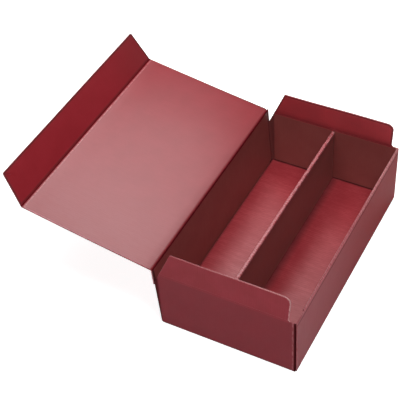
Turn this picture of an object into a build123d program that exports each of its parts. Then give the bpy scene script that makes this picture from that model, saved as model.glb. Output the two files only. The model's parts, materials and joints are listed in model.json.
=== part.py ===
"""Two-bottle wine shipping box of thin fluted board, lying flat with its lid open.

X runs across the box, Y along it, Z up; the origin is the middle of the underside.
"""
import os
from math import atan2, cos, radians, sin

from build123d import *

os.makedirs("parts", exist_ok=True)

# Board
board = 1.6                 # thickness of one layer
half = board / 2
crease_gap = 0.15           # air between a fold's bead and the panel that turns on it

# Walls
length = 340.0              # outside, along Y
width = 192.0               # outside, along X, at the floor
hinge_height = 96.0         # top of the lid's fold on the back wall
back_lean = 6.0             # how far the back wall's top has sprung outward
front_drop = 2.2            # top of the front wall, below the lid's fold
flap_drop = 1.9             # top of the dust flaps' folds, below the lid's fold
floor_fold_radius = 2.2
back_corner_radius = 5.0
front_corner_radius = 2.0

# Notches where the back wall leaves the end walls
notch_drop = 25.0           # foot of the notch, below the lid's fold
strip_end_gap = 0.5         # the back wall's free strip stops short of the end faces

# Front wall: outer layer, turned-in layer and glue tab
tab_length = 22.0
tab_inset = 7.0             # the tab stops short of the wall's top and bottom
tab_taper = 4.0
tab_clearance = 1.5         # from the tab's end to the turned-in layer
seam_gap = 2.4              # open joint beside the end wall's fold

# Bottom closure
slit_width = 0.5
slit_depth = 0.9

# Lid
lid_angle = 9.6             # above level, pointing back
lid_depth = 194.0           # fold to fold, outside
lid_hinge_inset = 0.5       # each end, beside the hinge
lid_front_inset = 2.0       # each end, beside the tuck flap

# Tuck flap
tuck_angle = 61.5           # above level, pointing back
tuck_depth = 51.0
tuck_root_inset = 2.5
tuck_edge_inset = 8.5
tuck_corner_radius = 2.5

# Dust flaps
flap_depth = 41.0           # fold to free edge
flap_left = -73.0           # back end of the free edge
flap_foot = 85.4            # front edge, just above the fold
flap_front = 88.0           # front edge produced to the free edge
flap_shoulder = 2.5
flap_front_radius = 12.0
near_lean = 2.6             # inward, from upright
far_lean = 7.0

# Divider: two floor panels and a doubled riser between them
divider_drop = 5.0          # top of the riser, below the lid's fold
divider_gap = 0.2           # between the riser's layers
divider_fold_radius = 1.2
divider_clearance = 0.7     # to the walls

# Positions that follow from the sizes above
half_length = length / 2
half_width = width / 2
front_height = hinge_height - front_drop
flap_height = hinge_height - flap_drop
notch_height = hinge_height - notch_drop
divider_height = hinge_height - divider_drop
lean_angle = atan2(back_lean, hinge_height)
hinge_z = hinge_height - half
hinge_x = -half_width - hinge_z * sin(lean_angle) / cos(lean_angle) + half / cos(lean_angle)
flap_fold_z = flap_height - half
flap_fold_y = half_length - half
front_inner_x = half_width - 2 * board - 0.1
fold_root = half + crease_gap


def back_face(z):
    """X of the back wall's outer face at a height."""
    return -half_width - z * sin(lean_angle) / cos(lean_angle)


# The cut edge from the notch up the end wall and on along the dust flap
slant = (flap_left - back_face(notch_height)) / (flap_fold_z + flap_depth - notch_height)
flap_fold_left = back_face(notch_height) + slant * (flap_fold_z - notch_height)


# Tray: floor, four walls, turned-in front layer and glue tab
with BuildPart() as tray:
    with BuildSketch(Plane.XZ):
        with BuildLine():
            Polyline(
                (-half_width, 0),
                (half_width, 0),
                (half_width, flap_fold_z),
                (back_face(flap_fold_z), flap_fold_z),
                close=True,
            )
        make_face()
    extrude(amount=half_length, both=True)
    upright = tray.edges().filter_by(lambda e: abs(e.tangent_at(0.5).Z) > 0.9)
    fillet(upright.group_by(Axis.X)[0], radius=back_corner_radius)
    upright = tray.edges().filter_by(lambda e: abs(e.tangent_at(0.5).Z) > 0.9)
    fillet(upright.sort_by(Axis.X)[-2:].sort_by(Axis.Y)[-1:], radius=front_corner_radius)
    fillet(tray.faces().sort_by(Axis.Z)[0].edges(), radius=floor_fold_radius)
    offset(amount=-board, openings=tray.faces().sort_by(Axis.Z)[-1])

    # Turned-in layer of the front wall, with the rounded fold on top
    layer_near = -half_length + board + tab_length + tab_clearance
    layer_far = half_length - board
    ridge_radius = (half_width - front_inner_x) / 2
    ridge_z = front_height - ridge_radius
    with BuildSketch(Plane.XZ.offset(-layer_far)):
        with Locations((front_inner_x + board / 2 + 0.05, ridge_z / 2 + board / 2)):
            Rectangle(board + 0.1, ridge_z - board)
        with Locations((half_width - ridge_radius, ridge_z)):
            Circle(ridge_radius)
    extrude(amount=layer_far - layer_near)

    # The ridge replaces the top of the outer layer
    with BuildSketch(Plane.XZ.offset(-half_length)):
        with BuildLine():
            Polyline(
                (half_width - ridge_radius, ridge_z),
                (half_width + 1, ridge_z),
                (half_width + 1, hinge_height),
                (half_width - ridge_radius, hinge_height),
                close=True,
            )
        make_face()
        with Locations((half_width - ridge_radius, ridge_z)):
            Circle(ridge_radius, mode=Mode.SUBTRACT)
    extrude(amount=half_length - layer_near, mode=Mode.SUBTRACT)

    # Glued corner: the end wall's tab goes behind the front wall's open end
    with BuildSketch(Plane.YZ.offset(half_width - 2 * board - 0.01)):
        tab_bottom = board + tab_inset
        tab_top = flap_fold_z - tab_inset
        with BuildLine():
            Polyline(
                (-half_length + half, tab_bottom),
                (-half_length + board + tab_length, tab_bottom + tab_taper),
                (-half_length + board + tab_length, tab_top - tab_taper),
                (-half_length + half, tab_top),
                close=True,
            )
        make_face()
    extrude(amount=board + 0.02)
    # The end wall rounds into the tab, and the front wall starts beyond an open joint
    fold_radius = board * 0.9
    tab_face = half_width - board
    with BuildSketch(Plane.XY.offset(-1)):
        with BuildLine():
            Polyline(
                (tab_face, -half_length + fold_radius),
                (tab_face, -half_length + seam_gap),
                (half_width + 1, -half_length + seam_gap),
                (half_width + 1, -half_length - 1),
                (tab_face - fold_radius, -half_length - 1),
                (tab_face - fold_radius, -half_length),
            )
            RadiusArc(
                (tab_face - fold_radius, -half_length),
                (tab_face, -half_length + fold_radius),
                -fold_radius,
            )
        make_face()
    extrude(amount=hinge_height + 2, mode=Mode.SUBTRACT)

    # Notches: each end wall is cut away beside the back wall
    for end in (-1, 1):
        with BuildSketch(Plane.XZ.offset(end * (half_length + 1))):
            with BuildLine():
                Polyline(
                    (back_face(notch_height), notch_height),
                    (flap_fold_left, flap_fold_z),
                    (flap_fold_left, hinge_height + 1),
                    (back_face(notch_height) - 8, hinge_height + 1),
                    (back_face(notch_height) - 8, notch_height),
                    close=True,
                )
            make_face()
        extrude(amount=-end * (back_corner_radius + 1), mode=Mode.SUBTRACT)

    # Back wall above the notches: a free strip with the bead that the lid turns on
    strip_plane = Plane(
        origin=(hinge_x, 0, hinge_z),
        x_dir=(cos(lean_angle), 0, sin(lean_angle)),
        z_dir=(0, -1, 0),
    )
    strip_half_length = half_length - strip_end_gap
    strip_depth = (hinge_z - notch_height) / cos(lean_angle)
    with BuildSketch(strip_plane):
        with Locations((0, -strip_depth / 2)):
            Rectangle(board, strip_depth)
        Circle(half)
    extrude(amount=strip_half_length, both=True)

    # Beads that the dust flaps turn on
    for end in (-1, 1):
        with BuildSketch(Plane.YZ.offset(flap_fold_left)):
            with Locations((end * flap_fold_y, flap_fold_z)):
                Circle(half)
        extrude(amount=flap_foot + 1.5 - flap_fold_left)

    # Bottom closure: the floor panel meets the front and end walls at open slits
    slit_x = half_width - board - slit_width / 2
    slit_y = half_length - board - slit_width / 2
    slit_back = -half_width + back_corner_radius
    with BuildSketch(Plane.XY):
        with Locations((slit_x, 0)):
            Rectangle(slit_width, 2 * slit_y + slit_width)
        with Locations(
            ((slit_x + slit_back) / 2, slit_y),
            ((slit_x + slit_back) / 2, -slit_y),
        ):
            Rectangle(slit_x - slit_back + slit_width, slit_width)
    extrude(amount=slit_depth, mode=Mode.SUBTRACT)

# Turned panels: each is drawn on a plane through its fold's axis, Y up the panel
lid_tilt = radians(lid_angle)
lid_reach = lid_depth - board
lid_plane = Plane(
    origin=(hinge_x, 0, hinge_z),
    x_dir=(0, 1, 0),
    z_dir=(sin(lid_tilt), 0, cos(lid_tilt)),
)
tuck_tilt = radians(tuck_angle)
tuck_plane = Plane(
    origin=lid_plane.from_local_coords((0, lid_reach, 0)),
    x_dir=(0, 1, 0),
    z_dir=(sin(tuck_tilt), 0, cos(tuck_tilt)),
)


def crease_edge(part, plane, root, side):
    """The edge of a panel's root on one face: side is 1 or -1 along the plane's normal."""
    spot = plane.from_local_coords((0, root, side * half))
    return part.edges().sort_by_distance(spot)[0]


# Lid
lid_hinge_half = half_length - lid_hinge_inset
lid_front_half = half_length - lid_front_inset
with BuildPart() as lid:
    with BuildSketch(lid_plane):
        with BuildLine():
            Polyline(
                (-lid_hinge_half, fold_root),
                (lid_hinge_half, fold_root),
                (lid_front_half, lid_reach),
                (-lid_front_half, lid_reach),
                close=True,
            )
        make_face()
    extrude(amount=half, both=True)
    chamfer(crease_edge(lid, lid_plane, fold_root, 1), length=0.35)
    with BuildSketch(Plane.XZ):
        with Locations((tuck_plane.origin.X, tuck_plane.origin.Z)):
            Circle(half)
    extrude(amount=lid_front_half, both=True)

# Tuck flap
tuck_root = fold_root + 0.1
with BuildPart() as tuck_flap:
    with BuildSketch(tuck_plane) as tuck_outline:
        with BuildLine():
            Polyline(
                (-half_length + tuck_root_inset, tuck_root),
                (half_length - tuck_root_inset, tuck_root),
                (half_length - tuck_edge_inset, tuck_depth - half),
                (-half_length + tuck_edge_inset, tuck_depth - half),
                close=True,
            )
        make_face()
        fillet(tuck_outline.vertices().sort_by(Axis.Y)[-2:], radius=tuck_corner_radius)
    extrude(amount=half, both=True)
    chamfer(crease_edge(tuck_flap, tuck_plane, tuck_root, 1), length=0.4)


def dust_flap(end, lean):
    """A dust flap on the near (-1) or far (1) end wall, leaning inward by some degrees."""
    tilt = radians(lean)
    plane = Plane(
        origin=(0, end * flap_fold_y, flap_fold_z),
        x_dir=(1, 0, 0),
        z_dir=(0, -cos(tilt), -end * sin(tilt)),
    )
    root_left = flap_fold_left + slant * fold_root
    with BuildPart() as flap:
        with BuildSketch(plane) as outline:
            with BuildLine():
                Polyline(
                    (root_left, fold_root),
                    (flap_foot + flap_shoulder - fold_root, fold_root),
                    (flap_foot, flap_shoulder),
                    (flap_front, flap_depth),
                    (flap_left, flap_depth),
                    close=True,
                )
            make_face()
            front = outline.vertices().sort_by(Axis.Y)[-2:].sort_by(Axis.X)
            fillet(front[1], radius=flap_front_radius)
        extrude(amount=half, both=True)
        chamfer(crease_edge(flap, plane, fold_root, end), length=0.35)
    return flap.part


near_dust_flap = dust_flap(-1, near_lean)
far_dust_flap = dust_flap(1, far_lean)

# Divider: one sheet folded up into a double riser, with a floor panel on each side
divider_half_length = half_length - board - divider_clearance
riser = board + divider_gap / 2
panel_top = 2 * board
with BuildPart() as divider:
    with BuildSketch(Plane.XZ) as section:
        with BuildLine():
            Polyline(
                (-half_width + board + divider_clearance, board),
                (-half_width + board + divider_clearance, panel_top),
                (-riser, panel_top),
                (-riser, divider_height),
                (riser, divider_height),
                (riser, panel_top),
                (front_inner_x - divider_clearance, panel_top),
                (front_inner_x - divider_clearance, board),
                (divider_gap / 2, board),
                (divider_gap / 2, divider_height - board),
                (-divider_gap / 2, divider_height - board),
                (-divider_gap / 2, board),
                close=True,
            )
        make_face()
        top = section.vertices().filter_by_position(Axis.Y, divider_height - 0.1, divider_height + 0.1)
        fillet(top, radius=riser * 0.95)
        creases = section.vertices().filter_by_position(Axis.Y, panel_top - 0.1, panel_top + 0.1)
        fillet(creases.filter_by_position(Axis.X, -2 * riser, 2 * riser), radius=divider_fold_radius)
        feet = section.vertices().filter_by_position(Axis.Y, board - 0.1, board + 0.1)
        fillet(
            feet.filter_by_position(Axis.X, -divider_gap, divider_gap),
            radius=divider_fold_radius + board - 0.2,
        )
    extrude(amount=divider_half_length, both=True)
    back_corners = divider.edges().filter_by(Axis.Z).group_by(Axis.X)[0]
    fillet(back_corners, radius=back_corner_radius)

pieces = {
    "tray": tray.part,
    "lid": lid.part,
    "tuck_flap": tuck_flap.part,
    "near_dust_flap": near_dust_flap,
    "far_dust_flap": far_dust_flap,
    "divider": divider.part,
}
for name, piece in pieces.items():
    piece.label = name
    export_step(piece, f"parts/{name}.step")
    print(name, round(piece.volume), len(piece.solids()))
print("hinge", round(hinge_x, 3), round(hinge_z, 3), "tuck fold", tuck_plane.origin)
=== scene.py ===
# %% [markdown]
# # A wine shipping box of thin fluted board, open
# The box is one printed sheet, folded and glued at one corner, with a folded divider standing in it.
# The construction model is the fixed frame. This script gives it the look of coated board: panels that bow a
# little, pressed creases, pale cut edges with the fluting in them, and scuffed folds. Light and shade are
# painted into the print as well: each part's strength of red, sheen, shade in folds and corners, and
# highlights on ridges.
# %% Load the frame
import json
import math

import bmesh
import bpy
from mathutils import Matrix, Vector, noise

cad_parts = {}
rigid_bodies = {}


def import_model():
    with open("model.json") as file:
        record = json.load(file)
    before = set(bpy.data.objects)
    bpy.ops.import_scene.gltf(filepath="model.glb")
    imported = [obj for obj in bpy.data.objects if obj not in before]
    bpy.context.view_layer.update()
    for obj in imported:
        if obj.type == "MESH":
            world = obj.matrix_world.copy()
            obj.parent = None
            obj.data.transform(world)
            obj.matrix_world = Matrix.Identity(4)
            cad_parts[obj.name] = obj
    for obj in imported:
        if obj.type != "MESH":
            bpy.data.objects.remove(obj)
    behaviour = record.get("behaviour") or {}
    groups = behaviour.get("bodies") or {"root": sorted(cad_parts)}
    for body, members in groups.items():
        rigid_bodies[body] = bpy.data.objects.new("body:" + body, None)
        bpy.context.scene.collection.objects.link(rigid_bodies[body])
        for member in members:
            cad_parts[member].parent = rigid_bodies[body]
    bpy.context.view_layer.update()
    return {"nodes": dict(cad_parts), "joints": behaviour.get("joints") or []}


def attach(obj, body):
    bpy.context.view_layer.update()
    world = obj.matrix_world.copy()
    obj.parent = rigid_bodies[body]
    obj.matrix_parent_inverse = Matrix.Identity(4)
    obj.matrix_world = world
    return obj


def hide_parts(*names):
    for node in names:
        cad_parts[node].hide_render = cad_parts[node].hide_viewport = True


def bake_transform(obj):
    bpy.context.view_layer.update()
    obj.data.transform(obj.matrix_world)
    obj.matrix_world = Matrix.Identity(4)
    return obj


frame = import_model()
for thing in list(bpy.context.scene.objects):
    if thing.type in ("CAMERA", "LIGHT") or thing.name == "Cube":
        bpy.data.objects.remove(thing)
MM = 0.001
print("nodes", sorted(frame["nodes"]))

# %% [markdown]
# ## Sizes shared with the construction model
# Each turned panel is drawn on a plane through its fold, in millimetres, so the sizes below are the
# ones that the folded sheet has. The folds lie where the construction model's joints are. Planes keep
# each panel's outline flat and simple, whatever angle the panel stands at.
# %% Sizes
BOARD = 1.6
HALF = BOARD / 2
LENGTH = 340.0
HALF_WIDTH = 96.0
HINGE_HEIGHT = 96.0
BACK_LEAN = 6.0
LID_ANGLE = 9.6
LID_REACH = 192.4
TUCK_ANGLE = 61.5
TUCK_DEPTH = 51.0
ROOT = 0.95  # where a panel starts, up from its fold
for joint in sorted(frame["joints"], key=lambda row: row["name"]):
    print(joint["name"], joint["range_deg"])


def fold_plane(origin, right, up):
    """A panel's plane: X along the fold, Y up the panel, Z out of the face that shows."""
    origin, right, up = Vector(origin), Vector(right), Vector(up)
    return origin, right, up, right.cross(up)


def turned(angle):
    """Unit direction up a panel that points back, some degrees above level."""
    return Vector((-math.cos(math.radians(angle)), 0, math.sin(math.radians(angle))))


def leaning(end, angle):
    """Unit direction up a dust flap on the near (-1) or far (1) end, leaning inward."""
    return Vector((0, -end * math.sin(math.radians(angle)), math.cos(math.radians(angle))))


HINGE = Vector((-101.148, 0, 95.2))
LID_PLANE = fold_plane(HINGE, (0, 1, 0), turned(LID_ANGLE))
TUCK_FOLD = HINGE + turned(LID_ANGLE) * LID_REACH
TUCK_PLANE = fold_plane(TUCK_FOLD, (0, 1, 0), turned(TUCK_ANGLE))
FLAP_FOLD_Y = 169.2
FLAP_FOLD_Z = 93.3
FLAP_LEANS = {-1: 2.6, 1: 7.0}
FLAP_PLANES = {
    end: fold_plane((0, end * FLAP_FOLD_Y, FLAP_FOLD_Z), (1, 0, 0), leaning(end, lean))
    for end, lean in FLAP_LEANS.items()
}

# %% [markdown]
# ## Small helpers for shader trees
# A node is added with its constant values on its own sockets and its links made in one call, so each
# material below reads as a short list of what the surface does. The helpers for sums and limits take
# constants and outputs alike.
# %% Shader helpers


def put(tree, kind, inputs, **settings):
    """Adds a node; inputs maps a socket's name or number to a constant or another node's output."""
    node = tree.nodes.new(kind)
    for key, value in settings.items():
        setattr(node, key, value)
    for key, value in inputs.items():
        socket = node.inputs[key]
        if isinstance(value, bpy.types.NodeSocket):
            tree.links.new(value, socket)
        else:
            socket.default_value = value
    return node


def calc(tree, operation, *values):
    """A math node's output."""
    return put(tree, "ShaderNodeMath", dict(enumerate(values)), operation=operation).outputs[0]


def times(tree, first, second):
    """The product of two values."""
    return calc(tree, "MULTIPLY", first, second)


def largest(tree, first, second):
    """The larger of two values."""
    return calc(tree, "MAXIMUM", first, second)


def above(tree, value, limit):
    """1 where a value is over a limit, else 0."""
    return calc(tree, "GREATER_THAN", value, limit)


def below(tree, value, limit):
    """1 where a value is under a limit, else 0."""
    return calc(tree, "LESS_THAN", value, limit)


def mix(tree, share, first, second):
    """A colour mix's output."""
    node = put(tree, "ShaderNodeMix", {0: share, 6: first, 7: second}, data_type="RGBA")
    return node.outputs[2]


def ramp(tree, value, low, high):
    """A smooth step of value from low to high, as 0 to 1."""
    node = put(
        tree,
        "ShaderNodeMapRange",
        {"Value": value, "From Min": low, "From Max": high},
        interpolation_type="SMOOTHSTEP",
    )
    return node.outputs[0]


def band(tree, value, rise, fall):
    """1 between two soft limits. rise and fall are each (where it is 0, where it is 1)."""
    return times(tree, ramp(tree, value, *rise), ramp(tree, value, *fall))


def cloud(tree, vector, scale, detail=3.0):
    """A noise texture's value."""
    inputs = {"Vector": vector, "Scale": scale, "Detail": detail}
    return put(tree, "ShaderNodeTexNoise", inputs).outputs[0]


def box_place(tree):
    """X, Y and Z on the box, in millimetres."""
    where = put(tree, "ShaderNodeTexCoord", {}).outputs["Object"]
    large = put(tree, "ShaderNodeVectorMath", {0: where, "Scale": 1 / MM}, operation="SCALE")
    return put(tree, "ShaderNodeSeparateXYZ", {0: large.outputs[0]}).outputs


def sheet_place(tree):
    """A panel's own map, in millimetres: across and along its face, or along and across its edge."""
    where = put(tree, "ShaderNodeUVMap", {}, uv_map="Board").outputs[0]
    split = put(tree, "ShaderNodeSeparateXYZ", {0: where})
    return split.outputs[0], split.outputs[1]


def painted(tree, name):
    """A mask that the mesh carries on its vertices."""
    return put(tree, "ShaderNodeAttribute", {}, attribute_name=name).outputs["Fac"]


def new_group(name, inputs, outputs):
    """An empty node group with the float inputs and outputs listed."""
    tree = bpy.data.node_groups.new(name, "ShaderNodeTree")
    for label in inputs:
        tree.interface.new_socket(label, in_out="INPUT", socket_type="NodeSocketFloat")
    for label in outputs:
        tree.interface.new_socket(label, in_out="OUTPUT", socket_type="NodeSocketFloat")
    return tree, tree.nodes.new("NodeGroupInput"), tree.nodes.new("NodeGroupOutput")


# %% [markdown]
# ## Fluted board as a shared effect
# On thin fluted board the printed face shows the flutes as very fine ribs, about three millimetres
# apart, never quite even. The group takes a place on the sheet, across and along the flutes, and gives
# back the rib, a slow mottle of the print, a fine fibre, and long streaks that follow the flutes. A
# sine bent by noise is cheaper and steadier at a distance than modelled waves.
# %% Group for the flutes
FLUTE_PITCH = 3.1
FLUTE_TURNS = 2 * math.pi / FLUTE_PITCH
flutes, source, sink = new_group("Fluted_Face", ["Across", "Along"], ["Rib", "Mottle", "Fibre", "Streak"])
across, along = source.outputs["Across"], source.outputs["Along"]


def stretched(across_scale, along_scale):
    """The place on the sheet, scaled differently across and along the flutes."""
    scaled = {0: times(flutes, across, across_scale), 1: times(flutes, along, along_scale)}
    return put(flutes, "ShaderNodeCombineXYZ", scaled).outputs[0]


place = put(flutes, "ShaderNodeCombineXYZ", {0: across, 1: along}).outputs[0]
wander = times(flutes, cloud(flutes, place, 0.011), 5.0)
turn = calc(flutes, "MULTIPLY_ADD", across, FLUTE_TURNS, wander)
wave = calc(flutes, "MULTIPLY_ADD", calc(flutes, "SINE", turn), 0.5, 0.5)
flutes.links.new(wave, sink.inputs["Rib"])
flutes.links.new(cloud(flutes, place, 0.03, 5.0), sink.inputs["Mottle"])
flutes.links.new(cloud(flutes, stretched(0.8, 0.15), 1.0, 4.0), sink.inputs["Fibre"])
flutes.links.new(cloud(flutes, stretched(0.24, 0.035), 1.0, 4.0), sink.inputs["Streak"])
print("group", flutes.name, "sockets", len(flutes.interface.items_tree))

# %% [markdown]
# ## The printed face
# The board is printed one deep wine red under a satin coat. Each part of the box gets its own copy of that
# red, lighter or darker as that part is lit or shaded: painted light and shade. The lid and the front wall
# turn greyer toward their near ends, a painted sheen, and the tuck flap turns darker toward its far end.
# Over that come a slow mottle, the ribs of the flutes, painted darker along each rib as painted shade, the
# streaks of the flutes, painted shade in creases, seams and corners, and wear, where the red has rubbed or
# cracked to pale pink along cut edges and folds; on ridges and the tops of walls that pale pink is also a
# painted highlight. On the turned panels the masks for wear and painted shade are painted on the mesh, so
# they follow its shape. On the walls they come from the place on the box.
# %% Materials for printed board
# Each part's red below is a copy of one print, set lighter or darker as that part is lit or shaded: painted
# light and shade. LID_NEAR_SHEEN and FRONT_SHEEN are greyed by painted sheen, SHADE_DARK is painted shade
# and PAPER_SHADE is painted shade in the flutes' hollows.
INK = (0.33, 0.022, 0.032, 1)
INK_DEEP = (0.27, 0.015, 0.022, 1)
WALL_SHADED = (0.27, 0.015, 0.027, 1)
WALL_DEEP_SHADED = (0.22, 0.011, 0.021, 1)
LID_NEAR_SHEEN = (0.32, 0.042, 0.050, 1)
TUCK_FAR = (0.26, 0.022, 0.028, 1)
FRONT_SHEEN = (0.45, 0.098, 0.116, 1)
FRONT_DEEP_SHEEN = (0.40, 0.070, 0.085, 1)
FRONT_FAR = (0.38, 0.002, 0.008, 1)
FLOOR_LIT = (0.45, 0.055, 0.066, 1)
FLAP_LIT = (0.58, 0.065, 0.080, 1)
FLAP_OUT_LIT = (0.37, 0.030, 0.047, 1)
INSIDE_SHADED = (0.285, 0.070, 0.063, 1)
INSIDE_DEEP_SHADED = (0.24, 0.048, 0.045, 1)
RISER_SHADED = (0.27, 0.085, 0.078, 1)
SHADE_DARK = (0.06, 0.0, 0.002, 1)
WORN = (0.62, 0.25, 0.27, 1)
PAPER = (0.82, 0.44, 0.44, 1)
PAPER_SHADE = (0.42, 0.16, 0.17, 1)
EDGE_INKED = (0.34, 0.07, 0.08, 1)

# How the noise of the print is cut into masks. A pair is (where a mask is 0, where it is 1).
MOTTLED, MOTTLE_SHARE = (0.35, 0.7), 0.45
RIB_BREAKS = (0.35, 0.65)
STREAKED = (0.38, 0.62)
FLAKED = (0.40, 0.56)
PATCHY = (0.36, 0.60)
DOWN_TO_PAPER = (0.75, 1.0)
RIB_HEIGHT = 0.00004


def printed(
    name, ink, deep, roughness, masks, shine=0.5, rib_shade=0.3, relief=0.1, streaks=0.12, fade=None
):
    """A printed face. masks makes (across, along, wear, crease) in the new tree.

    fade is (from, to, colour): the print turns to that colour between two places across; on the lid and the
    front wall that is a painted sheen."""
    material = bpy.data.materials.new(name)
    material.use_nodes = True
    tree = material.node_tree
    shader = tree.nodes["Principled BSDF"]
    across, along, wear, crease = masks(tree)
    face = put(tree, "ShaderNodeGroup", {}, node_tree=flutes)
    tree.links.new(across, face.inputs["Across"])
    tree.links.new(along, face.inputs["Along"])
    rib, mottle, fibre, streak = face.outputs
    base = mix(tree, times(tree, ramp(tree, mottle, *MOTTLED), MOTTLE_SHARE), ink, deep)
    # The fade: a painted sheen on the lid and the front wall; on the tuck flap, darker toward its far end.
    if fade:
        start, end, colour = fade
        base = mix(tree, ramp(tree, across, start, end), base, colour)
    # Painted shade along the ribs: each rib is mixed toward the deeper red.
    broken = times(tree, rib, ramp(tree, fibre, *RIB_BREAKS))
    base = mix(tree, times(tree, broken, rib_shade), base, deep)
    streaked = ramp(tree, streak, *STREAKED)
    base = mix(tree, times(tree, streaked, streaks), base, deep)
    flaked = calc(tree, "MULTIPLY_ADD", ramp(tree, streak, *FLAKED), 0.25, 0.75)
    patchy = times(tree, times(tree, wear, flaked), ramp(tree, fibre, *PATCHY))
    # The pale pink is wear, and on ridges and wall tops also a painted highlight.
    rubbed_and_lit = mix(tree, ramp(tree, wear, *DOWN_TO_PAPER), WORN, PAPER)
    base = mix(tree, patchy, base, rubbed_and_lit)
    # Painted shade from the crease mask: in creases, seams, corners and at the foot of walls, and a darker
    # rim on some panels.
    base = mix(tree, crease, base, SHADE_DARK)
    tree.links.new(base, shader.inputs["Base Color"])
    gloss = calc(tree, "MULTIPLY_ADD", streaked, 0.15 * streaks, roughness)
    gloss = calc(tree, "MULTIPLY_ADD", crease, 0.5, gloss)
    tree.links.new(calc(tree, "MULTIPLY_ADD", wear, 0.03, gloss), shader.inputs["Roughness"])
    shader.inputs["Specular IOR Level"].default_value = shine
    height = calc(tree, "MULTIPLY_ADD", fibre, 0.25, rib)
    bump = put(tree, "ShaderNodeBump", {"Height": height, "Strength": relief, "Distance": RIB_HEIGHT})
    tree.links.new(bump.outputs[0], shader.inputs["Normal"])
    return material


def sheet_masks(tree):
    """Place from a panel's own map, wear and crease from its vertices."""
    across, along = sheet_place(tree)
    return across, along, painted(tree, "wear"), painted(tree, "crease")


# Where the walls are marked, in millimetres on the box. A pair is (where a mask is 0, where it is 1).
FAR_SHARE = (-60.0, 150.0)
END_FACE = 166.0
BACK_FROM, BACK_TOP_OVER = -90.0, 2.0
RIDGE_FROM, RIDGE_UNDER_NEAR, RIDGE_UNDER_MORE = 91.0, 1.8, 0.7
RUBBED_AND_LIT_TOP, END_WALL_TO = (92.6, 93.7), 90.0
KEPT_FROM, KEPT_CORNER = 87.0, (-140.0, -166.0)
CUT_FOLD_RISE, CUT_FOLD_FALL, CUT_END_FROM = (89.6, 90.6), (92.2, 91.6), 94.9
SEAM_RISE, SEAM_FALL, SEAM_END = (92.3, 93.0), (95.0, 94.5), -167.55
BACK_BEND, BACK_BEND_END = (-91.0, -94.6), -164.5
NOOK_ACROSS, NOOK_ALONG, FOOT_ALONG = (-89.5, -92.0), (163.5, 166.0), 160.0
GROOVE_RISE, GROOVE_FALL, FRONT_FACE_FROM = (86.8, 88.2), (90.6, 89.4), 95.5
FOOT_SOFTNESS = 2.2


def tray_masks(tree, floor_level=1.2, inside=False):
    """Place, wear and painted highlight along the tops, and painted shade on the walls, from where a point
    is on the box.
    """
    x, y, z = box_place(tree)
    beside_middle = calc(tree, "ABSOLUTE", y)
    near_end = below(tree, y, -END_FACE)
    far_share = ramp(tree, y, *FAR_SHARE)

    # Wear and painted highlight: pale along the walls' tops, less on the end walls and at the near front
    # corner.
    back_over = times(tree, below(tree, x, BACK_FROM), BACK_TOP_OVER)
    ridge_under = calc(tree, "MULTIPLY_ADD", far_share, RIDGE_UNDER_MORE, RIDGE_UNDER_NEAR)
    ridge_under = times(tree, above(tree, x, RIDGE_FROM), ridge_under)
    level = calc(tree, "ADD", calc(tree, "SUBTRACT", z, back_over), ridge_under)
    kept = times(tree, above(tree, x, KEPT_FROM), ramp(tree, y, *KEPT_CORNER))
    top = times(tree, ramp(tree, level, *RUBBED_AND_LIT_TOP), calc(tree, "SUBTRACT", 1.0, kept))
    end_wall = times(tree, above(tree, beside_middle, END_FACE), below(tree, x, END_WALL_TO))
    top = times(tree, top, calc(tree, "MULTIPLY_ADD", end_wall, -0.85, 1.0))
    rubbed_and_lit = times(tree, top, calc(tree, "MULTIPLY_ADD", far_share, 0.20, 0.74))
    cut_fold = band(tree, x, CUT_FOLD_RISE, CUT_FOLD_FALL)
    corner = times(tree, largest(tree, cut_fold, above(tree, x, CUT_END_FROM)), near_end)
    wear = largest(tree, rubbed_and_lit, times(tree, corner, 0.42))

    # Painted shade: in the open seam, on the back corner's bend, at the foot of the walls, in the inside
    # corner and in the groove under the front ridge.
    seam = times(tree, band(tree, x, SEAM_RISE, SEAM_FALL), below(tree, y, SEAM_END))
    bend = times(tree, ramp(tree, x, *BACK_BEND), below(tree, y, BACK_BEND_END))
    foot = times(tree, ramp(tree, z, floor_level + FOOT_SOFTNESS, floor_level), 0.9)
    if inside:
        foot = times(tree, foot, above(tree, beside_middle, FOOT_ALONG))
        nook = times(tree, ramp(tree, x, *NOOK_ACROSS), ramp(tree, beside_middle, *NOOK_ALONG))
        foot = largest(tree, foot, times(tree, nook, 0.6))
    groove = times(tree, band(tree, z, GROOVE_RISE, GROOVE_FALL), above(tree, x, FRONT_FACE_FROM))
    dark = largest(tree, foot, times(tree, bend, 0.85))
    dark = largest(tree, dark, times(tree, groove, 0.4))
    return calc(tree, "ADD", x, y), z, wear, largest(tree, seam, dark)


def inside_masks(tree):
    """The same on the faces inside the box, whose foot is the divider's floor panels."""
    return tray_masks(tree, floor_level=3.3, inside=True)


# LID_SHEEN_FADE turns the lid greyer toward its near end, a painted sheen. TUCK_FADE turns the tuck flap
# darker toward its far end.
LID_SHEEN_FADE = (-30, -165, LID_NEAR_SHEEN)
TUCK_FADE = (60, 165, TUCK_FAR)
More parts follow.
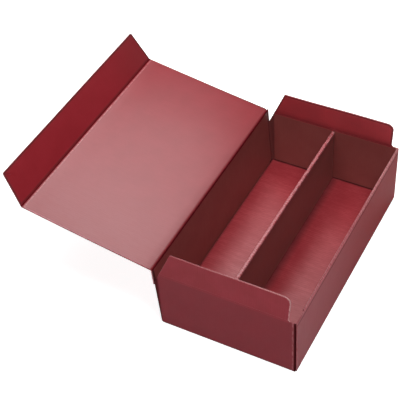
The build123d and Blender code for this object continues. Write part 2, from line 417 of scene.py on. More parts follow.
# FRONT_SHEEN_FADE: the front wall is greyed by painted sheen, less toward its far end, where it turns pure
# red.
FRONT_SHEEN_FADE = (-90, 230, FRONT_FAR)
board = printed("printed_board", INK, INK_DEEP, 0.32, sheet_masks, shine=0.1)
lid_board = printed("printed_lid", INK, INK_DEEP, 0.32, sheet_masks, fade=LID_SHEEN_FADE)
tuck_board = printed("printed_tuck", INK, INK_DEEP, 0.32, sheet_masks, fade=TUCK_FADE)
board_back = printed("printed_board_outside", INK, INK_DEEP, 0.36, sheet_masks)
flap_board = printed("printed_flap", FLAP_LIT, FLOOR_LIT, 0.34, sheet_masks)
tray_board = printed("printed_walls", WALL_SHADED, WALL_DEEP_SHADED, 0.42, tray_masks, shine=0.26)
tray_inside = printed("printed_walls_inside", INSIDE_SHADED, INSIDE_DEEP_SHADED, 0.42, inside_masks)
front_board = printed("printed_front", FRONT_SHEEN, FRONT_DEEP_SHEEN, 0.42, tray_masks, shine=0.08, fade=FRONT_SHEEN_FADE)
divider_board = printed(
    "printed_divider", FLOOR_LIT, INK, 0.33, sheet_masks, shine=0.45, rib_shade=0.8, relief=0.3, streaks=0.42
)
flap_outside = printed("printed_flap_outside", FLAP_OUT_LIT, INK_DEEP, 0.40, sheet_masks, shine=0.22)
riser_board = printed("printed_riser", RISER_SHADED, INSIDE_SHADED, 0.42, sheet_masks)
print("printed faces", sum(material.name.startswith("printed") for material in bpy.data.materials))

# %% [markdown]
# ## The cut edge
# A cut through the board shows two pale liners with the flutes as a wave between them, and knife burrs. From
# a step away that is a pale pink line with darker specks. The hollows between the flutes and the liners are
# painted darker, as painted shade. The pattern is made along the edge in the mesh's own map, so that the
# specks keep their size on every edge. The walls have no map, so their cuts take it from the place on the
# box, along the middle of the board.
# %% Material for cut edges
WALL_CUT_WORN = 0.8
WAVE_HEIGHT = 0.42
CORE = (0.10, 0.26)
LINERS = (0.66, 0.52)
BURRS, BURR_SCALE, BURR_HEIGHT = (0.46, 0.66), 0.55, 0.0002


def cut_edge(name, place_of):
    """Pale board edge with the fluting's hollows in painted shade and darker burr specks. place_of gives
    (along, across, wear).
    """
    material = bpy.data.materials.new(name)
    material.use_nodes = True
    tree = material.node_tree
    shader = tree.nodes["Principled BSDF"]
    along, across, rubbed_and_lit = place_of(tree)
    wave = calc(tree, "SINE", times(tree, along, FLUTE_TURNS))
    offset = calc(tree, "MULTIPLY_ADD", wave, -WAVE_HEIGHT, across)
    core = ramp(tree, calc(tree, "ABSOLUTE", offset), *CORE)
    place = put(tree, "ShaderNodeCombineXYZ", {0: along, 1: across}).outputs[0]
    burr = cloud(tree, place, BURR_SCALE, 4.0)
    # The hollows are painted darker, as painted shade.
    hollow = times(tree, core, ramp(tree, calc(tree, "ABSOLUTE", across), *LINERS))
    colour = mix(tree, times(tree, hollow, 0.55), PAPER, PAPER_SHADE)
    colour = mix(tree, rubbed_and_lit, EDGE_INKED, colour)
    inked = calc(tree, "SUBTRACT", 1.0, times(tree, rubbed_and_lit, 0.75))
    colour = mix(tree, times(tree, ramp(tree, burr, *BURRS), inked), colour, INK)
    tree.links.new(colour, shader.inputs["Base Color"])
    shader.inputs["Roughness"].default_value = 0.8
    bump = put(tree, "ShaderNodeBump", {"Height": burr, "Strength": 0.5, "Distance": BURR_HEIGHT})
    tree.links.new(bump.outputs[0], shader.inputs["Normal"])
    return material


def edge_on_sheet(tree):
    """Along and across the edge from the panel's own map."""
    along, across = sheet_place(tree)
    return along, across, painted(tree, "wear")


def edge_on_tray(tree):
    """Along the edge from the place on the box, in the middle of the board, with even wear."""
    x, y, z = box_place(tree)
    return calc(tree, "ADD", calc(tree, "ADD", x, y), z), 0.0, WALL_CUT_WORN


sheet_edge = cut_edge("cut_edge", edge_on_sheet)
tray_edge = cut_edge("cut_edge_walls", edge_on_tray)
print("cut edges", sheet_edge.name, tray_edge.name)

# %% [markdown]
# ## A panel as a mesh
# A panel is drawn as its outline on a plane. The outline is inset twice, which leaves a narrow double
# ring for wear, then cut across into a grid so that it can bow. Both faces and the cut edges are made,
# the edges are rounded with a bevel, and the sheet is lifted and pressed before it is set in its plane.
# One routine makes every panel, so they all age alike.
# %% Panel builder
EDGE_ROUNDING = 0.22
SHARP_ANGLE = math.radians(38)


def rounded(points, radii, steps=7):
    """A closed outline with the corners in radii (index to radius) turned into arcs."""
    made = []
    for index, point in enumerate(points):
        here = Vector(point)
        radius = radii.get(index, 0)
        if not radius:
            made.append(here)
            continue
        before = (Vector(points[index - 1]) - here).normalized()
        after = (Vector(points[(index + 1) % len(points)]) - here).normalized()
        corner = before.angle(after) / 2
        centre = here + (before + after).normalized() * radius / math.sin(corner)
        start = here + before * radius / math.tan(corner) - centre
        end = here + after * radius / math.tan(corner) - centre
        sweep = math.pi - 2 * corner
        for step in range(steps + 1):
            share = step / steps
            arm = start * math.sin((1 - share) * sweep) + end * math.sin(share * sweep)
            made.append(centre + arm / math.sin(sweep))
    return made


def steps_between(low, high, gap):
    """Evenly spaced values strictly between two numbers."""
    count = max(1, round((high - low) / gap))
    return [low + (high - low) * step / count for step in range(1, count)]


def ridge(value, centre, width):
    """A smooth hump of 1 at centre, falling to 0 at width either side."""
    reach = min(1.0, abs(value - centre) / width)
    return (1 - reach * reach) ** 2


def finish_mesh(bm, name, plane, materials, body):
    """Puts a mesh drawn in a plane's millimetres into the box, and makes the object."""
    origin, right, up, normal = plane
    for vert in bm.verts:
        vert.co = (origin + right * vert.co.x + up * vert.co.y + normal * vert.co.z) * MM
    mesh = bpy.data.meshes.new(name)
    bm.to_mesh(mesh)
    bm.free()
    mesh.shade_smooth()
    mesh.set_sharp_from_angle(angle=SHARP_ANGLE)
    for material in materials:
        mesh.materials.append(material)
    piece = bpy.data.objects.new(name, mesh)
    bpy.context.scene.collection.objects.link(piece)
    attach(piece, body)
    print(name, "faces", len(mesh.polygons))
    return piece


def panel(
    name, plane, outline, cuts, lift, press, shade_at, wear_at, body, materials,
    ring=1.3, rub_and_highlight_at=None, rim_dark=None,
):
    """A sheet of board. cuts is (across, along) positions.

    lift moves both faces and press only the one that shows. shade_at paints shade on that face, and
    rub_and_highlight_at makes it pale, as wear and a painted highlight. wear_at and rim_dark are for the
    ring along the outline, which is ring wide."""
    bm = bmesh.new()
    wear = bm.verts.layers.float.new("wear")
    crease = bm.verts.layers.float.new("crease")
    rim = [bm.verts.new((point.x, point.y, HALF)) for point in outline]
    face = bm.faces.new(rim)
    face.normal_update()
    for _ in range(2):
        bmesh.ops.inset_individual(bm, faces=[face], thickness=ring / 2, use_even_offset=True)
    inner = set(face.verts)
    for vert in bm.verts:
        vert[wear] = 0.0 if vert in inner else wear_at(vert.co.x, vert.co.y)
        vert[crease] = 0.0 if vert in inner or not rim_dark else rim_dark(vert.co.x, vert.co.y)
    for axis, places in enumerate(cuts):
        for spot in places:
            point = [0, 0, 0]
            facing = [0, 0, 0]
            point[axis] = spot
            facing[axis] = 1
            everything = bm.verts[:] + bm.edges[:] + bm.faces[:]
            bmesh.ops.bisect_plane(bm, geom=everything, dist=0.0001, plane_co=point, plane_no=facing)
    border = [edge for edge in bm.edges if edge.is_boundary]
    pairs = [(edge.verts[0], edge.verts[1]) for edge in border]
    copy = bmesh.ops.duplicate(bm, geom=bm.verts[:] + bm.edges[:] + bm.faces[:])
    under = copy["vert_map"]
    for item in copy["geom"]:
        if isinstance(item, bmesh.types.BMVert):
            item.co.z = -HALF
    for first, second in pairs:
        bm.faces.new((first, second, under[second], under[first]))
    bmesh.ops.recalc_face_normals(bm, faces=bm.faces[:])
    rims = [
        edge for edge in bm.edges
        if abs(edge.verts[0].co.z - edge.verts[1].co.z) < 0.01
        and abs(abs(edge.link_faces[0].normal.z) - abs(edge.link_faces[1].normal.z)) > 0.5
    ]
    bmesh.ops.bevel(
        bm, geom=rims, offset=EDGE_ROUNDING, offset_type="OFFSET", segments=2, profile=0.5,
        affect="EDGES", material=-1, clamp_overlap=True,
    )
    sheet_map = bm.loops.layers.uv.new("Board")
    for face in bm.faces:
        flat = abs(face.normal.z) > 0.9
        face.material_index = (0 if face.normal.z > 0 else 1) if flat else 2
        for loop in face.loops:
            co = loop.vert.co
            loop[sheet_map].uv = (co.x, co.y) if flat else (co.x + co.y, co.z)
    for vert in bm.verts:
        x, y = vert.co.x, vert.co.y
        vert[crease] = max(vert[crease], shade_at(x, y)) if vert.co.z > 0 else 0.0
        if vert.co.z > 0:
            vert[wear] = max(vert[wear], rub_and_highlight_at(x, y)) if rub_and_highlight_at else vert[wear]
            vert.co.z += press(x, y)
        vert.co.z += lift(x, y)
    return finish_mesh(bm, name, plane, materials, body)


# %% [markdown]
# ## The lid
# The lid is the widest panel and lies back nearly level, so it shows bow and the pressed creases best.
# It is held at its two folds and bows by under a millimetre between them. Beside the tuck flap's fold the
# creasing rule has raised a narrow ridge; it is painted pale, as rubbed print and a painted highlight, next
# to the painted shade along the crease. The lid's print turns greyer toward its near end, a painted sheen.
# Its far corner at the hinge is knocked round.
# %% Lid
LID_HINGE_HALF = LENGTH / 2 - 1.2
LID_FRONT_HALF = LENGTH / 2 - 2.0
LID_CORNER = 3.0
RULE_RIDGE = LID_REACH - 3.2


def lid_lift(x, y):
    """The lid's bow: outward only, and none at its two folds."""
    held = max(0.0, y * (LID_REACH - y)) / (LID_REACH / 2) ** 2
    wave = noise.noise(Vector((x * 0.011, y * 0.009, 3.0)))
    return -held * (0.45 + 0.4 * wave)


def lid_press(x, y):
    """The ridge and groove that the creasing rule left beside the tuck flap's fold."""
    return 0.15 * ridge(y, RULE_RIDGE, 1.5) - 0.35 * ridge(y, LID_REACH - 0.9, 0.9)


def lid_crease(x, y):
    """Painted shade along both folds."""
    return max(0.95 * ridge(y, LID_REACH - 0.2, 1.9), 0.8 * ridge(y, 1.0, 3.2))


def lid_wear(x, y):
    """The rim is rubbed, but not at the far end or by the hinge."""
    return 0.75 if x < 100 and y > 4 else 0.1


def lid_rule_rub_and_highlight(x, y):
    """The rule's ridge is pale: rubbed print and a painted highlight."""
    return 0.7 * ridge(y, RULE_RIDGE, 1.4)


def lid_rim(x, y):
    """The far end's rim is painted darker."""
    return 0.7 if x > 100 and y < LID_REACH - 4 else 0.0


lid_outline = rounded(
    [
        (-LID_HINGE_HALF, ROOT), (LID_HINGE_HALF, ROOT),
        (LID_FRONT_HALF, LID_REACH), (-LID_FRONT_HALF, LID_REACH),
    ],
    {1: LID_CORNER},
    steps=6,
)
rule_cuts = [LID_REACH - back for back in (4.7, 4.0, 3.2, 2.4, 1.9, 0.7)]
lid_cuts = (
    steps_between(-LID_FRONT_HALF, LID_FRONT_HALF, 12),
    [2.6, 3.4, *steps_between(4, LID_REACH - 6, 10), *rule_cuts],
)
lid = panel(
    "lid_panel", LID_PLANE, lid_outline, lid_cuts, lid_lift, lid_press, lid_crease, lid_wear,
    "lid", (lid_board, board_back, sheet_edge), ring=2.0, rub_and_highlight_at=lid_rule_rub_and_highlight, rim_dark=lid_rim,
)
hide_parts("lid")

# %% [markdown]
# ## The tuck flap
# The flap stands up from the lid's front fold and narrows to its free edge. Its root is pressed too, with
# painted shade along the fold, and its rim is painted darker.
# %% Tuck flap
TUCK_ROOT_HALF = LENGTH / 2 - 2.5
TUCK_EDGE_HALF = LENGTH / 2 - 8.5
TUCK_TOP = TUCK_DEPTH - HALF
TUCK_CORNER = 2.5


def tuck_lift(x, y):
    """The tuck flap's free edge waves a little; its root is held."""
    free = (y / TUCK_TOP) ** 2
    return free * 0.35 * noise.noise(Vector((x * 0.012, 5.0, 1.0)))


def tuck_press(x, y):
    """The root is pressed in."""
    return -0.3 * ridge(y, 1.0, 1.6)


def tuck_crease(x, y):
    """Painted shade along the fold."""
    return ridge(y, 0.9, 3.4)


def tuck_wear(x, y):
    """The rim is hardly rubbed."""
    return 0.1


def tuck_rim(x, y):
    """The rim is painted darker."""
    return 0.65


tuck_outline = rounded(
    [
        (-TUCK_ROOT_HALF, ROOT + 0.1), (TUCK_ROOT_HALF, ROOT + 0.1),
        (TUCK_EDGE_HALF, TUCK_TOP), (-TUCK_EDGE_HALF, TUCK_TOP),
    ],
    {2: TUCK_CORNER, 3: TUCK_CORNER},
)
tuck_cuts = (
    steps_between(-TUCK_EDGE_HALF, TUCK_EDGE_HALF, 12),
    [2.1, 2.6, 3.4, 4.4, *steps_between(5, TUCK_TOP - 3, 8)],
)
tuck = panel(
    "tuck_flap_panel", TUCK_PLANE, tuck_outline, tuck_cuts, tuck_lift, tuck_press, tuck_crease, tuck_wear,
    "tuck", (tuck_board, board_back, sheet_edge), ring=3.2, rim_dark=tuck_rim,
)
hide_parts("tuck_flap")

# %% [markdown]
# ## The dust flaps
# Each end wall carries one flap. The front upper corner is a large curve and the back edge carries on
# the slanting cut of the notch, so the flap's outline comes from the same slant as the wall's. The far
# flap is two millimetres longer, as it is in the photo, and bows more. The near one has rubbed through
# to the pale paper at its front corner.
# %% Dust flaps
FLAP_DEPTH = 41.0
FLAP_TOPS = {-1: FLAP_DEPTH, 1: 43.0}
FLAP_FOOT = 85.4
FLAP_SHOULDER = 2.5
FLAP_FRONT = 88.0
FLAP_CORNER = 9.0
FLAP_BACK_AT_FOLD = -90.77
FLAP_BACK_AT_TOP = -73.0
NOTCH_FOOT = 71.0
SLANT_FOOT = (-HALF_WIDTH - NOTCH_FOOT * BACK_LEAN / HINGE_HEIGHT, NOTCH_FOOT)
SLANT = (FLAP_BACK_AT_TOP - SLANT_FOOT[0]) / (FLAP_FOLD_Z + FLAP_DEPTH - SLANT_FOOT[1])
FLAP_ROOT_LEFT = SLANT_FOOT[0] + SLANT * (FLAP_FOLD_Z + ROOT - SLANT_FOOT[1])
flap_cuts = (steps_between(-72, 70, 11), [2.0, 3.0, *steps_between(4, 40, 7)])
flap_names = {-1: "near", 1: "far"}


def flap_press(x, y):
    """The root is pressed in a little."""
    return -0.2 * ridge(y, 1.2, 1.2)


def dust_flap(end, bow, ring, face):
    """The flap on the near (-1) or far (1) end."""
    near = end < 0
    top = FLAP_TOPS[end]

    def flap_lift(x, y):
        """A dust flap bows more toward its free edge."""
        return (y / FLAP_DEPTH) ** 2 * bow * noise.noise(Vector((x * 0.012, 2.0 + end, 7.0)))

    def flap_crease(x, y):
        """Painted shade: faint at the near fold; the far flap darkens toward its fold."""
        return 0.12 * ridge(y, 1.0, 1.6) if near else 0.35 * ridge(y, 0.5, 9.0)

    def flap_wear(x, y):
        """The near flap's front corner is rubbed through."""
        return 0.15 + 0.85 * min(1.0, max(0.0, (x - 70) / 14)) if near else 0.05

    def flap_rim(x, y):
        """The far flap's rim is painted darker."""
        return 0.0 if near else 0.6

    outline = rounded(
        [
            (FLAP_ROOT_LEFT, ROOT), (FLAP_FOOT + FLAP_SHOULDER - ROOT, ROOT),
            (FLAP_FOOT, FLAP_SHOULDER), (FLAP_FRONT, top), (FLAP_BACK_AT_FOLD + SLANT * top, top),
        ],
        {3: FLAP_CORNER},
        steps=10,
    )
    word = flap_names[end]
    flap = panel(
        f"{word}_dust_flap_panel", FLAP_PLANES[end], outline, flap_cuts, flap_lift, flap_press,
        flap_crease, flap_wear, f"{word}_flap", (face, board_back, sheet_edge), ring=ring, rim_dark=flap_rim,
    )
    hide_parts(f"{word}_dust_flap")


dust_flap(-1, 0.5, 1.5, flap_outside)
dust_flap(1, 0.8, 2.8, flap_board)

# %% [markdown]
# ## The divider
# The divider is one sheet: a floor panel, up, over a sharp fold, down and a second floor panel. It is swept
# from its section along the box. Board folded right over swells at the fold, so the top is a little thicker;
# it is painted pale, as rubbed print and a painted highlight. The floor panels get a lighter copy of the
# print and the riser a darker one, painted light and shade, with painted shade at the riser's foot and along
# the floor panels' rims. The riser leans back by a millimetre or so toward the near end, as a loose sheet
# does.
# %% Divider
CLEARANCE = 0.7
DIVIDER_HALF = LENGTH / 2 - BOARD - CLEARANCE
FLOOR_LEFT = -HALF_WIDTH + BOARD + CLEARANCE
FLOOR_RIGHT = HALF_WIDTH - 2 * BOARD - 0.1 - CLEARANCE
FLOOR_TOP = 2 * BOARD
RISER = BOARD + 0.1
DIVIDER_TOP = 91.0
BULB = 0.7
BULB_DROP = 2.4
NECK_DROP = 5.5
FOOT_FOLD, TOP_FOLD = 1.2, 1.4
section = rounded(
    [
        (FLOOR_LEFT, BOARD), (0, BOARD), (FLOOR_RIGHT, BOARD), (FLOOR_RIGHT, FLOOR_TOP),
        (FLOOR_RIGHT - 3, FLOOR_TOP), (RISER, FLOOR_TOP), (RISER, DIVIDER_TOP - NECK_DROP),
        (RISER + BULB, DIVIDER_TOP - BULB_DROP), (RISER + BULB / 2, DIVIDER_TOP),
        (-RISER - BULB / 2, DIVIDER_TOP), (-RISER - BULB, DIVIDER_TOP - BULB_DROP),
        (-RISER, DIVIDER_TOP - NECK_DROP), (-RISER, FLOOR_TOP), (FLOOR_LEFT + 3, FLOOR_TOP),
        (FLOOR_LEFT, FLOOR_TOP),
    ],
    {5: FOOT_FOLD, 8: TOP_FOLD, 9: TOP_FOLD, 12: FOOT_FOLD},
    steps=5,
)
fine = []
for index, point in enumerate(section):
    after = section[(index + 1) % len(section)]
    pieces = max(1, round((after - point).length / 11))
    fine += [point.lerp(after, step / pieces) for step in range(pieces)]


def divider_shift(point, y):
    """Sideways lean and top wave of the riser at a place along the box."""
    up = max(0.0, (point.y - 4) / (DIVIDER_TOP - 4))
    lean = 0.8 * (y / 170 - 1) + 0.3 * noise.noise(Vector((y * 0.012, 0.5, 2.0)))
    top_wave = 0.15 * up * noise.noise(Vector((y * 0.03, 4, 4)))
    return Vector((point.x + up * lean, y, point.y + top_wave))


def divider_dark(point, y):
    """Painted shade at the riser's foot and along the floor panels' rims."""
    foot = abs(point.x) < 3.2 and 3.1 < point.y < 4.2
    at_side = not FLOOR_LEFT + 1 < point.x < FLOOR_RIGHT - 1
    rim = point.y < 4 and (abs(y) > DIVIDER_HALF - 1 or at_side)
    return 0.7 if foot or rim else 0.0


bm = bmesh.new()
wear = bm.verts.layers.float.new("wear")
crease = bm.verts.layers.float.new("crease")
ends = (-DIVIDER_HALF, -DIVIDER_HALF + 2.5, DIVIDER_HALF - 2.5, DIVIDER_HALF)
stations = sorted([*ends, *steps_between(ends[1], ends[2], 10)])
rows = []
for y in stations:
    row = []
    for point in fine:
        vert = bm.verts.new(divider_shift(point, y))
        # The top is painted pale: rubbed print and a painted highlight on the fold.
        vert[wear] = 0.82 if point.y > DIVIDER_TOP - 2.7 else 0.0
        vert[crease] = divider_dark(point, y)
        row.append(vert)
    rows.append(row)
count = len(fine)
run = [0.0]
for index, point in enumerate(fine):
    run.append(run[-1] + (fine[(index + 1) % count] - point).length)
divider_map = bm.loops.layers.uv.new("Board")
for row in range(len(rows) - 1):
    for index in range(count):
        after = (index + 1) % count
        face = bm.faces.new((rows[row][index], rows[row][after], rows[row + 1][after], rows[row + 1][index]))
        spots = (
            (stations[row], run[index]), (stations[row], run[index + 1]),
            (stations[row + 1], run[index + 1]), (stations[row + 1], run[index]),
        )
        for loop, spot in zip(face.loops, spots):
            loop[divider_map].uv = spot
for row in (rows[0], rows[-1]):
    cap = bm.faces.new(row)
    cap.material_index = 1
    for loop in cap.loops:
        loop[divider_map].uv = (loop.vert.co.x, 0.0)
bmesh.ops.recalc_face_normals(bm, faces=bm.faces[:])
for face in bm.faces:
    middle = face.calc_center_median()
    on_riser = abs(middle.x) < RISER + 3 and 4.4 < middle.z < DIVIDER_TOP - 2.2
    if on_riser and face.material_index == 0:
        face.material_index = 2
upright = (Vector((0, 0, 0)), Vector((1, 0, 0)), Vector((0, 1, 0)), Vector((0, 0, 1)))
divider = finish_mesh(bm, "divider_sheet", upright, (divider_board, sheet_edge, riser_board), "box")
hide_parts("divider")

# %% [markdown]
# ## Creases
# The sheet carries on through each fold. A narrow skin of board on both sides of a fold bends with it and
# closes the joint between the two panels, in the print of the panels beside it. On one side the skin is
# painted darker, as painted shade in the fold. The lid's front fold also gets its rounded core.
# %% Crease skins
SKIN_STEPS = 30
ARC_STEPS = 8
SKIN_ROOT_A, SKIN_ROOT_B, SKIN_SHOULDER = 1.6, 2.0, 0.5
ABOVE_BOARD = HALF + 0.01


def crease_skin(name, plane_a, plane_b, half_length, radius, dark, shift=0.0, print_on=board):
    """A skin over a fold: from panel a's root over the fold to panel b's root, on both faces."""
    origin, right, _, _ = plane_b
    origin = origin + right * shift
    bm = bmesh.new()
    wear = bm.verts.layers.float.new("wear")
    crease = bm.verts.layers.float.new("crease")
    sheet_map = bm.loops.layers.uv.new("Board")
    for side in (1, -1):
        up_a, normal_a = plane_a[2], plane_a[3] * side
        up_b, normal_b = plane_b[2], plane_b[3] * side
        sweep = normal_a.rotation_difference(normal_b)
        profile = [
            (up_a * SKIN_ROOT_A + normal_a * ABOVE_BOARD, 0.0),
            (up_a * SKIN_SHOULDER + normal_a * radius, 0.0),
        ]
        for step in range(ARC_STEPS + 1):
            share = step / ARC_STEPS
            arm = normal_a.copy()
            arm.rotate(Matrix.Rotation(sweep.angle * share, 3, sweep.axis))
            profile.append((arm * radius, share))
        profile += [
            (up_b * SKIN_SHOULDER + normal_b * radius, 1.0),
            (up_b * SKIN_ROOT_B + normal_b * ABOVE_BOARD, 1.0),
        ]
        last = len(profile) - 1
        places = [-half_length + 2 * half_length * step / SKIN_STEPS for step in range(SKIN_STEPS + 1)]
        grid = []
        for place in places:
            row = []
            for index, (offset, weight) in enumerate(profile):
                vert = bm.verts.new((origin + right * place + offset) * MM)
                vert[crease] = dark if 0 < index < last and side > 0 else 0.0
                vert[wear] = 0.0
                row.append(vert)
            grid.append(row)
        for row in range(SKIN_STEPS):
            for index in range(last):
                near, far = grid[row], grid[row + 1]
                corners = [near[index], far[index], far[index + 1], near[index + 1]]
                spots = [
                    (places[row], index), (places[row + 1], index),
                    (places[row + 1], index + 1), (places[row], index + 1),
                ]
                face = bm.faces.new(corners[::side])
                for loop, spot in zip(face.loops, spots[::side]):
                    loop[sheet_map].uv = spot
    mesh = bpy.data.meshes.new(name)
    bm.to_mesh(mesh)
    bm.free()
    mesh.shade_smooth()
    mesh.materials.append(print_on)
    piece = bpy.data.objects.new(name, mesh)
    bpy.context.scene.collection.objects.link(piece)
    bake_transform(piece)
    print(name, "faces", len(mesh.polygons))


LEAN = math.atan2(BACK_LEAN, HINGE_HEIGHT)
wall_down = Vector((math.sin(LEAN), 0, -math.cos(LEAN)))
WALL_PLANE = (HINGE, Vector((0, 1, 0)), wall_down, Vector((math.cos(LEAN), 0, math.sin(LEAN))))
LID_BACK = (TUCK_FOLD, Vector((0, 1, 0)), -LID_PLANE[2], LID_PLANE[3])
HINGE_TRIM = 1.0  # the hinge's skin stops short of the lid's rounded corner
crease_skin(
    "hinge_crease", WALL_PLANE, LID_PLANE, LID_HINGE_HALF - HINGE_TRIM,
    HALF + 0.04, 0.85, shift=-HINGE_TRIM,
)
crease_skin("tuck_crease", LID_BACK, TUCK_PLANE, TUCK_ROOT_HALF, HALF + 0.02, 1.0)
FLAP_CREASE_RIGHT = FLAP_FOOT + 0.6
FLAP_CREASE_HALF = (FLAP_CREASE_RIGHT - FLAP_ROOT_LEFT) / 2
FLAP_CREASE_MIDDLE = (FLAP_CREASE_RIGHT + FLAP_ROOT_LEFT) / 2
flap_creases = {-1: (0.1, flap_outside), 1: (0.6, flap_board)}
for end, (dark, face_print) in flap_creases.items():
    word = flap_names[end]
    wall = (FLAP_PLANES[end][0], Vector((1, 0, 0)), Vector((0, 0, -1)), Vector((0, -1, 0)))
    crease_skin(
        f"{word}_flap_crease", wall, FLAP_PLANES[end], FLAP_CREASE_HALF,
        HALF + 0.02, dark, shift=FLAP_CREASE_MIDDLE, print_on=face_print,
    )

bm = bmesh.new()
for label in ("wear", "crease"):
    bm.verts.layers.float.new(label)
core = bmesh.ops.create_cone(
    bm, cap_ends=True, segments=20, radius1=HALF, radius2=HALF, depth=2 * TUCK_ROOT_HALF
)
bmesh.ops.rotate(bm, verts=core["verts"], matrix=Matrix.Rotation(math.pi / 2, 3, "X"))
bm.loops.layers.uv.new("Board")
core_plane = (TUCK_FOLD, Vector((1, 0, 0)), Vector((0, 1, 0)), Vector((0, 0, 1)))
fold_core = finish_mesh(bm, "tuck_fold_core", core_plane, (board,), "lid")

# %% [markdown]
# ## The walls
# The walls stay as the construction model made them. Each face of the model is looked at once: faces that
# are cuts through the board get the pale edge, faces that look into the box get a copy of the print painted
# darker and greyer for the shade inside, the front wall gets one painted with its light and sheen, and the
# rest get one painted darker for the shade on the outside walls.
# %% Walls
OUTSIDE_FACE, CUT_FACE, INSIDE_FACE, FRONT_FACE = range(4)
FLOOR_SKIN = BOARD + 0.1


def wall_material(centre, normal):
    """Which of the four materials a face of the walls gets. centre is in millimetres."""
    x, y, z = centre
    nx, ny, nz = normal
    notch = z > NOTCH_FOOT - 0.5 and x < -86 and abs(y) > 163 and (nz > 0.3 or nx < -0.5)
    back_wall_end = z > NOTCH_FOOT and x < -94 and abs(ny) > 0.9
    if notch or back_wall_end:
        return CUT_FACE
    upright_face = abs(nx) > 0.5 or abs(ny) > 0.5
    looks_inward = nx * x + ny * y < 0
    if z > FLOOR_SKIN and upright_face and looks_inward:
        return INSIDE_FACE
    front_wall = x > 90 and nx > 0.5
    front_wall_end = x > 94.5 and y < -167.3
    return FRONT_FACE if front_wall or front_wall_end else OUTSIDE_FACE


tray = frame["nodes"]["tray"]
tray.data.materials.clear()
for material in (tray_board, tray_edge, tray_inside, front_board):
    tray.data.materials.append(material)
for polygon in tray.data.polygons:
    polygon.material_index = wall_material(polygon.center / MM, polygon.normal)
for label, slot in (("cut", CUT_FACE), ("inside", INSIDE_FACE), ("front", FRONT_FACE)):
    print(label, "faces", sum(polygon.material_index == slot for polygon in tray.data.polygons))

# %% [markdown]
# ## Camera
# The camera stands where the photo was taken from: in front, to the right and above. Its place comes
# from matching the box's corners in the picture, with a small shift from the picture's middle.
# %% Camera
AZIMUTH, ELEVATION, ROLL = 30.7041, 44.5644, -4.3369
DISTANCE, FOCAL = 1496.087, 1124.6152
CENTRE_U, CENTRE_V = 282.8404, 233.6389
PICTURE = 400
SENSOR = 36
AIM = Vector((0, 0, 45.0))
azimuth, elevation, roll = (math.radians(value) for value in (AZIMUTH, ELEVATION, ROLL))
back = Vector((
    math.sin(azimuth) * math.cos(elevation), -math.cos(azimuth) * math.cos(elevation), math.sin(elevation)
))
level = Vector((0, 0, 1)).cross(back).normalized()
over = back.cross(level)
right = level * math.cos(roll) + over * math.sin(roll)
up = over * math.cos(roll) - level * math.sin(roll)
ray = right * ((CENTRE_U - PICTURE / 2) / FOCAL) - up * ((CENTRE_V - PICTURE / 2) / FOCAL) - back
camera = bpy.data.objects.new("camera", bpy.data.cameras.new("camera"))
bpy.context.scene.collection.objects.link(camera)
pose = Matrix((right, up, back)).transposed().to_4x4()
pose.translation = (AIM - ray * DISTANCE) * MM
camera.matrix_world = pose
camera.data.sensor_width = SENSOR
camera.data.lens = FOCAL * SENSOR / PICTURE
camera.data.clip_start = 0.01
camera.data.clip_end = 50
bpy.context.scene.camera = camera
print("camera at", [round(value, 3) for value in camera.location])

# %% [markdown]
# ## Floor and light
# A plain pale floor and four soft lamps. The rear one, high up, gives the satin sheen on the lid and
# in the box; the top one lights the panels that lie flat; the front and side ones fill the walls that
# face the camera. Their strengths were balanced against the colours seen on each panel. The floor is
# lifted toward white for the camera alone, and more so with distance, so that it still takes a shadow.
# %% Floor and lights
FLOOR_HALF = 6
FLOOR_BELOW = 0.0004
FLOOR_LIFT = 0.78
FAR_LIFT = 0.45
FAR_FROM, FAR_TO = 0.5, 1.6
WHITE = (1, 1, 1, 1)
bm = bmesh.new()
bmesh.ops.create_grid(bm, x_segments=1, y_segments=1, size=FLOOR_HALF)
bmesh.ops.translate(bm, verts=bm.verts[:], vec=(0, 0, -FLOOR_BELOW))
ground_mesh = bpy.data.meshes.new("floor")
bm.to_mesh(ground_mesh)
bm.free()
ground = bpy.data.objects.new("floor", ground_mesh)
bpy.context.scene.collection.objects.link(ground)
paint = bpy.data.materials.new("floor_white")
paint.use_nodes = True
tree = paint.node_tree
white = tree.nodes["Principled BSDF"]
white.inputs["Base Color"].default_value = (0.92, 0.92, 0.92, 1)
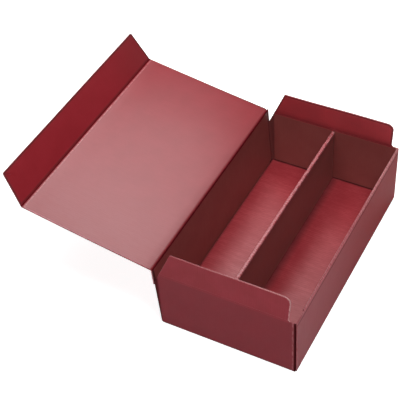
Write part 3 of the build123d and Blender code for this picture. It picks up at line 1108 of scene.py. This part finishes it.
white.inputs["Roughness"].default_value = 0.9
white.inputs["Specular IOR Level"].default_value = 0.1
white.inputs["Emission Color"].default_value = WHITE
looked_at = put(tree, "ShaderNodeLightPath", {}).outputs["Is Camera Ray"]
spot = put(tree, "ShaderNodeTexCoord", {}).outputs["Object"]
reach = put(tree, "ShaderNodeVectorMath", {0: spot}, operation="LENGTH").outputs["Value"]
lift = calc(tree, "MULTIPLY_ADD", ramp(tree, reach, FAR_FROM, FAR_TO), FAR_LIFT, FLOOR_LIFT)
tree.links.new(times(tree, looked_at, lift), white.inputs["Emission Strength"])
ground_mesh.materials.append(paint)


def lamp(name, place, size, power):
    """A soft square lamp at a place, pointed at the box."""
    data = bpy.data.lights.new(name, "AREA")
    data.size = size
    data.energy = power
    light = bpy.data.objects.new(name, data)
    light.location = place
    light.rotation_mode = "QUATERNION"
    light.rotation_quaternion = (Vector(LAMP_AIM) - Vector(place)).to_track_quat("-Z", "Y")
    bpy.context.scene.collection.objects.link(light)


LAMP_AIM = (-0.05, 0, 0.05)
LAMPS = (
    ("rear_lamp", (-0.32, 0.37, 0.8), 0.45, 3.7),
    ("top_lamp", (0.5, -0.3, 1.7), 0.6, 13.4),
    ("front_lamp", (0, -1.8, 1.4), 1.2, 14.4),
    ("side_lamp", (1.8, 0.2, 1.4), 1.2, 1.6),
)
for settings in LAMPS:
    lamp(*settings)

world = bpy.data.worlds.new("surround")
bpy.context.scene.world = world
world.use_nodes = True
tree = world.node_tree
tree.nodes.clear()
seen = put(tree, "ShaderNodeBackground", {0: WHITE, 1: 1.0})
unlit = put(tree, "ShaderNodeBackground", {0: WHITE, 1: 0.0})
path = put(tree, "ShaderNodeLightPath", {})
surround = put(
    tree, "ShaderNodeMixShader", {0: path.outputs["Is Camera Ray"], 1: unlit.outputs[0], 2: seen.outputs[0]}
)
put(tree, "ShaderNodeOutputWorld", {0: surround.outputs[0]})
bpy.context.scene.view_settings.view_transform = "Standard"
print("lamps", [name for name, *_ in LAMPS])
